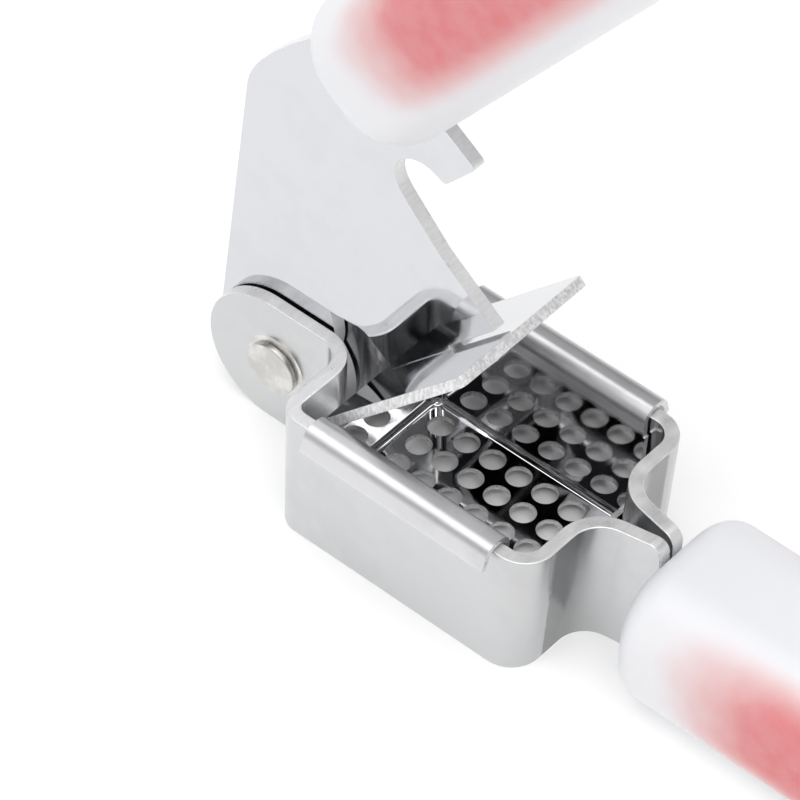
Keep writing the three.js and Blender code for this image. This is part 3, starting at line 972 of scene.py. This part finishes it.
@dataclass
class LeverAndPresser:
    """The flat lever plate and the presser plate that its tab goes through."""

    layout: Layout
    grip_nose: Point = (55.6, 31.0)
    grip_rise: float = 6.0
    thickness: float = 2.0
    boss: float = 10.1
    bore: float = 3.0
    back_offset: float = 11.6
    back_slope: float = 37.2
    tang_half: float = 5.0
    tang_length: float = 66.0
    press_x: tuple[float, float] = (16.7, 47.4)
    press_half: float = 11.85
    press_top: float = -5.95
    press_thickness: float = 1.5
    tab: tuple[float, float] = (23.0, 33.0)
    seam: float = 0.1
    relief: float = 0.5
    pin_bore: float = 2.3
    pins: tuple[float, ...] = (26.0, 52.0)
    # Runs of the plate's inner edge: each has its number of steps, then its control points.
    throat: tuple[Run, ...] = (
        (8, (12.6, 0.2), (14.3, 3.8)), (1, (17.4, 1.3)), (6, (18.6, 0.3), (18.8, -1.2))
    )
    hook: tuple[Run, ...] = (
        (1, (42.3, 5.7)),
        (1, (42.7, 14.4)),
        (12, (42.8, 17.2), (44.2, 19.0), (46.6, 19.0)),
        (12, (49.2, 19.0), (50.8, 17.2), (51.2, 15.0)),
        (6, (51.4, 14.2), (52.2, 14.2)),
        (1, (57.8, 14.5)),
        (6, (58.6, 14.5), (58.5, 15.4)),
    )

    def in_grip(self, along: float, above: float) -> Point:
        """A point of the upper grip's own axes."""
        return turned(self.grip_nose, self.grip_rise, along, above)

    def on_back(self, along: float) -> Point:
        """A point of the straight back edge, so far along it from the hinge."""
        return turned((0, 0), self.back_slope, along, self.back_offset)

    def outline(self) -> list[Point]:
        """The plate's side outline with the press closed."""
        contact = self.press_top + self.seam
        foot = self.press_top - self.press_thickness
        tang = self.tang_half
        low, high = self.tab
        points = arc(0, 0, self.boss, self.back_slope + 144, 353.1, 52)
        carry(points, self.throat)
        points += [(19.4, contact), (low, contact), (low, foot), (high, foot)]
        points += [(high, contact + self.relief), (43.4, contact + self.relief)]
        carry(points, self.hook)
        points += [self.in_grip(1, -tang - 5), self.in_grip(3, -tang)]
        points += [self.in_grip(self.tang_length, -tang), self.in_grip(self.tang_length, tang)]
        start = self.in_grip(1, tang)
        points += [start]
        points += curve([start, self.in_grip(-6, tang + 1), self.on_back(50), self.on_back(43)], 16)
        points += [self.on_back(-1)]
        return points

    def build(self, sheet: Finish, edge: Finish, torn: Finish) -> None:
        """Builds both plates and hangs them on the lever."""
        half = self.thickness / 2
        plate = traced("lever", self.outline(), -half, half)
        dress_flat(plate, sheet, edge, 1)
        centres = [(0.0, 0.0, self.bore)]
        centres += [(*self.in_grip(u, 0), self.pin_bore) for u in self.pins]
        for x, z, radius in centres:
            drill(plate, (x, 0, z), radius, edge)
        soften(plate, 0.16, 2)
        self.layout.stand(plate, opened=True)
        hang(plate, "lever", "plate_steel", "lever_plate")
        self.build_presser(sheet, torn)

    def build_presser(self, sheet: Finish, edge: Finish) -> None:
        """Builds the presser with its slot for the lever's tab."""
        start, end = self.press_x
        foot = self.press_top - self.press_thickness
        presser = block(
            "presser", (start, -self.press_half, foot), (end, self.press_half, self.press_top)
        )
        with editing(presser):
            pick(presser, Part.EDGE, lambda at, along: abs(along.z) > 0.9)
            bpy.ops.mesh.bevel(offset=0.9 * MM, segments=6, affect="EDGES")
        dress_flat(presser, sheet, edge, 2)
        half = self.thickness / 2 + self.seam
        cut_box(
            presser,
            (self.tab[0] - self.seam, -half, foot - 1),
            (self.tab[1] + self.seam, half, self.press_top + 1),
            edge,
        )
        soften(presser, 0.14, 2)
        self.layout.stand(presser, opened=True)
        hang(presser, "lever", "plate_steel", "presser_plate")


@dataclass
class Grip:
    """One sleeved grip: a milky sleeve and end cap over a red core pinned to the steel."""

    layout: Layout
    name: str
    nose: Point
    rise: float
    opened: bool
    # The room for the steel, as in the upper grip: one lever plate that stands in its middle.
    room_half: float = 1.3
    room_end: float = 66.3
    mouth_end: float = 3.3
    mouth_top: float = 5.3
    core_sink: float = 0.0
    length: float = 106.0
    width: float = 25.0
    height: float = 20.88
    nose_round: float = 4.2
    side_round: float = 8.5
    cap_length: float = 11.0
    core: tuple[float, float] = (18.4, 14.4)
    core_start: float = 7.0
    core_round: float = 4.0
    gap: float = 0.3
    plug: float = 6.0
    tang_half: float = 5.0
    clear: float = 20.0  # well outside the grip's sides

    @property
    def body(self) -> str:
        """The CAD body that this grip rides on."""
        return "lever" if self.opened else "frame"

    def placed(self) -> Matrix:
        """The move from the grip's own axes to the frame."""
        x, z = self.nose
        return (
            self.layout.matrix(self.opened)
            @ Matrix.Translation((x * MM, 0, z * MM))
            @ Matrix.Rotation(math.radians(-self.rise), 4, "Y")
        )

    def rounded_bar(
        self, name: str, start: float, end: float, width: float, height: float, radius: float
    ) -> Piece:
        """A bar along the grip whose long edges are round."""
        piece = block(name, (start, -width / 2, -height / 2), (end, width / 2, height / 2))
        with editing(piece):
            pick(piece, Part.EDGE, lambda at, along: abs(along.x) > 0.9)
            bpy.ops.mesh.bevel(offset=radius * MM, segments=10, affect="EDGES")
        return piece

    def domed_bar(self, name: str) -> Piece:
        """The whole outside of a grip, with both ends domed over."""
        piece = self.rounded_bar(name, 0, self.length, self.width, self.height, self.side_round)
        ends = (0.0, self.length * MM)
        with editing(piece):
            pick(
                piece,
                Part.EDGE,
                lambda at, along: min(abs(at.x - e) for e in ends) < CLOSE and abs(along.x) < 0.1,
            )
            bpy.ops.mesh.bevel(offset=self.nose_round * MM, segments=10, affect="EDGES")
            for x in range(15, 95, 8):
                select_everything()
                bpy.ops.mesh.bisect(plane_co=(x * MM, 0, 0), plane_no=(1, 0, 0), threshold=CLOSE)
        return piece

    def sleeve(self) -> Piece:
        """The sleeve, hollowed for its core and cut open for the steel."""
        gap, cap_start = self.gap, self.length - self.cap_length
        sleeve = self.domed_bar(f"{self.name}_sleeve")
        out = self.clear
        cut_box(sleeve, (cap_start, -out, -out), (self.length + 1, out, out))
        wide, tall = (side + 2 * gap for side in self.core)
        hollow = self.rounded_bar(
            "hollow", self.core_start - gap, self.length + 1, wide, tall, self.core_round + gap
        )
        join(sleeve, hollow, Join.CUT_AWAY)
        level, tang = -self.core_sink, self.tang_half + gap
        half = self.room_half
        cut_box(sleeve, (-1, -half, level - tang), (self.room_end, half, level + tang))
        mouth = (self.mouth_end, half, self.mouth_top)
        return cut_box(sleeve, (-10, -half, -self.height), mouth)

    def cap(self) -> Piece:
        """The end cap with the plug that goes into the sleeve."""
        cap_start = self.length - self.cap_length
        cap = self.domed_bar(f"{self.name}_cap")
        out = self.clear
        cut_box(cap, (-1, -out, -out), (cap_start + 0.1, out, out))
        plug = self.rounded_bar(
            "plug", cap_start - self.plug, cap_start + 2, *self.core, self.core_round
        )
        return join(cap, plug, Join.ADD)

    def build(self, milk: MilkyFinish, cap_finish: Finish, core: Finish, pin: Finish) -> None:
        """Builds the sleeve and cap, and dresses the CAD core and pins."""
        place = self.placed()
        sleeve_finish = milk.make(place.translation, place.to_euler().y)
        for piece, finish, slot, node in (
            (self.sleeve(), sleeve_finish, "grip_sleeve", f"{self.name}_grip_sleeve"),
            (self.cap(), cap_finish, "grip_cap", f"{self.name}_end_cap"),
        ):
            dress(piece, finish)
            smooth(piece, 38)
            piece.data.transform(place)
            hang(piece, self.body, slot, node)
        for node in ("core_near", "core_far"):
            dress(frame["nodes"][f"{self.name}_{node}"], core)
        for node in ("front_pin", "rear_pin"):
            dress(frame["nodes"][f"{self.name}_{node}"], pin)


# ---------- studio ----------


@dataclass
class Studio:
    """A plain white floor with a painted shadow under the basket, one large soft light and a
    camera.
    """

    floor_level: float
    painted_shadow_area: tuple[tuple[float, float], tuple[float, float]]  # X and Y of the floor's painted shadow under the basket
    floor_size: float = 8.0
    soft_edge: float = 0.004
    glow: tuple[float, float] = (0.32, 0.02)  # of the open floor, and of the part under the basket, lowered there as painted shadow
    lamp_size: tuple[float, float] = (2.1, 2.0)
    lamp_power: float = 40.0
    lamp_place: tuple[float, float, float] = (0.05, -0.25, 1.65)
    # How bright the room is at each height of view, from level to straight up.
    walls: tuple[tuple[float, Colour], ...] = (
        (0.0, (0.9, 0.9, 0.905)), (0.30, (0.55, 0.55, 0.555)), (0.62, (0.012, 0.012, 0.013))
    )
    eye: tuple[float, float, float] = (0.21524, -0.33507, 0.47870)
    right: tuple[float, float, float] = (0.75590703, 0.65425194, 0.0236425)
    up: tuple[float, float, float] = (-0.4906342, 0.54221771, 0.68211293)
    back: tuple[float, float, float] = (0.43345432, -0.52721377, 0.73086455)
    lens: float = 225.0

    def floor(self) -> None:
        """A pale matt floor that runs past every view, with its glow cut back under the basket as a
        painted shadow.
        """
        bpy.ops.mesh.primitive_plane_add(size=self.floor_size, location=(0, 0, self.floor_level))
        floor = added("floor")
        bench = Bench("pale_floor")
        cloud = bench.noise(bench.coords, 3.0, 2, 0.5)
        shades = (0.73, 0.73, 0.73), (0.75, 0.75, 0.75)
        bench.feed(Base_Color=bench.blend(bench.spread(cloud, 0.3, 0.7), *shades))
        bench.fix(Roughness=0.9, Specular_IOR_Level=0.0)
        # Painted shadow: the floor's glow falls off inside the box under the basket.
        inside = []
        for place, (low, high) in zip(bench.axes(bench.coords), self.painted_shadow_area):
            middle, half = (low + high) / 2, (high - low) / 2
            off = bench.math("ABSOLUTE", bench.math("SUBTRACT", place, middle))
            inside.append(bench.spread(off, half - self.soft_edge, half, 1, 0))
        bench.feed(Emission_Strength=bench.spread(bench.product(*inside), 0, 1, *self.glow))
        bench.fix(Emission_Color=(1.0, 1.0, 1.0))
        dress(floor, bench.finish)

    def light(self) -> None:
        """One broad soft light over the camera's side."""
        data = bpy.data.lights.new("soft_light", "AREA")
        data.shape = "RECTANGLE"
        data.size, data.size_y = self.lamp_size
        data.energy = self.lamp_power
        lamp = bpy.data.objects.new("soft_light", data)
        bpy.context.scene.collection.objects.link(lamp)
        lamp.location = self.lamp_place
        lamp.rotation_mode = "QUATERNION"
        lamp.rotation_quaternion = lamp.location.to_track_quat("Z", "Y")

    def room(self) -> None:
        """Pale walls at the sides, and a dark ceiling over the far side of the press."""
        world = bpy.data.worlds.new("room")
        bpy.context.scene.world = world
        world.use_nodes = True
        tree = world.node_tree
        shade = tree.nodes["Background"]
        way = tree.nodes.new("ShaderNodeTexCoord").outputs["Generated"]
        split = tree.nodes.new("ShaderNodeSeparateXYZ")
        tree.links.new(way, split.inputs[0])
        ramp = tree.nodes.new("ShaderNodeValToRGB")
        tree.links.new(split.outputs[2], ramp.inputs[0])
        stops = ramp.color_ramp.elements
        stops.new(self.walls[1][0])
        for stop, (height, colour) in zip(stops, self.walls):
            stop.position, stop.color = height, (*colour, 1)
        tree.links.new(ramp.outputs[0], shade.inputs[0])
        shade.inputs[1].default_value = 1.0

    def camera(self) -> None:
        """The camera, at its own place and turn."""
        data = bpy.data.cameras.new("camera")
        data.lens, data.sensor_width = self.lens, 36.0
        data.clip_start, data.clip_end = 0.01, 20.0
        camera = bpy.data.objects.new("camera", data)
        bpy.context.scene.collection.objects.link(camera)
        turn = Matrix((self.right, self.up, self.back)).transposed().to_4x4()
        camera.matrix_world = Matrix.Translation(self.eye) @ turn
        bpy.context.scene.camera = camera

    def build(self) -> None:
        """Sets up floor, light, room and camera."""
        self.floor()
        self.light()
        self.room()
        self.camera()
        view = bpy.context.scene.view_settings
        view.view_transform, view.look, view.exposure = "Standard", "None", 0.0


def main() -> None:
    """Builds every sub-assembly in order."""
    logging.basicConfig(level=logging.INFO, format="%(name)s %(message)s")
    hinge = next(j for j in frame["joints"] if j["name"] == "lever_hinge")
    layout = Layout(Vector(hinge["pos_m"]))
    # The floor's painted shadow lies under the basket.
    basket_low, basket_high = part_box("strainer_basket")
    sides = (basket_low.y + PAINTED_SHADOW_INSET, basket_high.y - PAINTED_SHADOW_INSET)
    Studio(CAD_BOX[0].z - FLOOR_GAP, ((basket_low.x, basket_high.x), sides)).build()
    sheared, punched = SHEARED.make(), PUNCHED.make()
    across, plate = SHEARED_ACROSS.make(), PLATE_SHEET.make()
    strips = SideStrips(layout)
    strips.build(STRIP_SHEET.make(), sheared)
    HingeRivet(layout).build(HEADED.make())
    StrainerBasket(layout, strips).build(BASKET_SHEET.make(), punched)
    lever = LeverAndPresser(layout)
    lever.build(plate, across, SERRATED.make())
    cap, core, pin = CAP.make(), CORE.make(), DRAWN.make()
    lower = Grip(layout, "lower", nose=(62.4, 0.2), rise=0.0, opened=False)
    lower.room_half, lower.room_end, lower.core_sink = 2.55, 65.9, 0.2
    lower.mouth_end, lower.mouth_top = 0.1, 21.0
    lower.build(MilkyFinish("lower_milk"), cap, core, pin)
    upper = Grip(layout, "upper", nose=lever.grip_nose, rise=lever.grip_rise, opened=True)
    upper.build(MilkyFinish("upper_milk", fade=(3.0, 28.0)), cap, core, pin)


if __name__ == "__main__":
    main()
